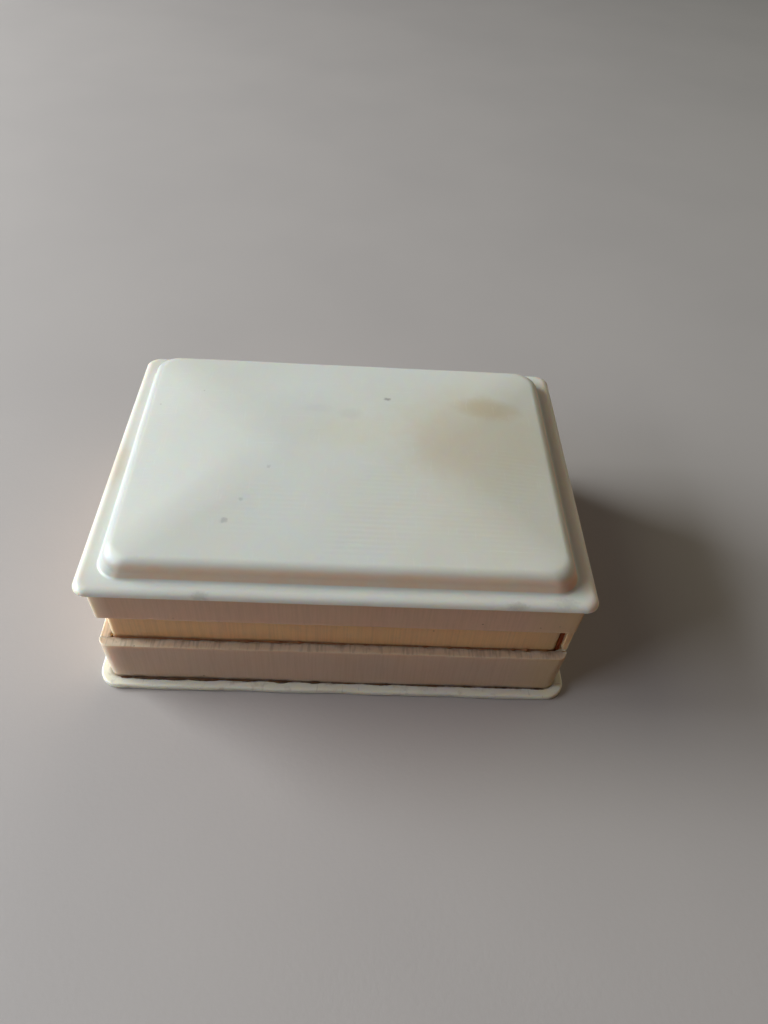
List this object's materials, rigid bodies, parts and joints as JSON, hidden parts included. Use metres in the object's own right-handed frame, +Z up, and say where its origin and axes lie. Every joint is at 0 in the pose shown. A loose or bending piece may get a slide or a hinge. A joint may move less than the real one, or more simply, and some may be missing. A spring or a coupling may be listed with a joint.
{
  "type": "rosin cake",
  "caption": "Bow rosin cake cast in a shallow rectangular box of sheet plastic with a lift-off lid that has a flat brim and a low hipped dome.",
  "frame": {"origin": "middle of the underside of the base plate, on the surface that the box rests on", "axes": "+X along the box's length to the right, -Y towards the front, +Z up"},
  "size_m": [0.0768, 0.057, 0.0299],
  "materials": {
    "ivory_lid": "satin gloss, aged ivory plastic",
    "ivory_base": "satin gloss, aged ivory plastic with brown residue in the joints",
    "amber_collar": "thin translucent plastic tinted by the rosin behind it",
    "rosin": "glassy amber resin with a pale dusty worn trough"
  },
  "bodies": {
    "base": {"base_plate": "ivory_base", "base_wall_front": "ivory_base", "base_wall_back": "ivory_base", "base_wall_left": "ivory_base", "base_wall_right": "ivory_base", "collar_front": "amber_collar", "collar_back": "amber_collar", "collar_left": "amber_collar", "collar_right": "amber_collar", "rosin_cake": "rosin"},
    "lid": {"lid_top": "ivory_lid", "lid_skirt_front": "ivory_lid", "lid_skirt_back": "ivory_lid", "lid_skirt_left": "ivory_lid", "lid_skirt_right": "ivory_lid"}
  },
  "joints": [
    {"name": "lid_lift", "type": "slide", "parent": "base", "child": "lid", "axis": [0, 0, 1], "range_m": [0, 0.03]}
  ]
}
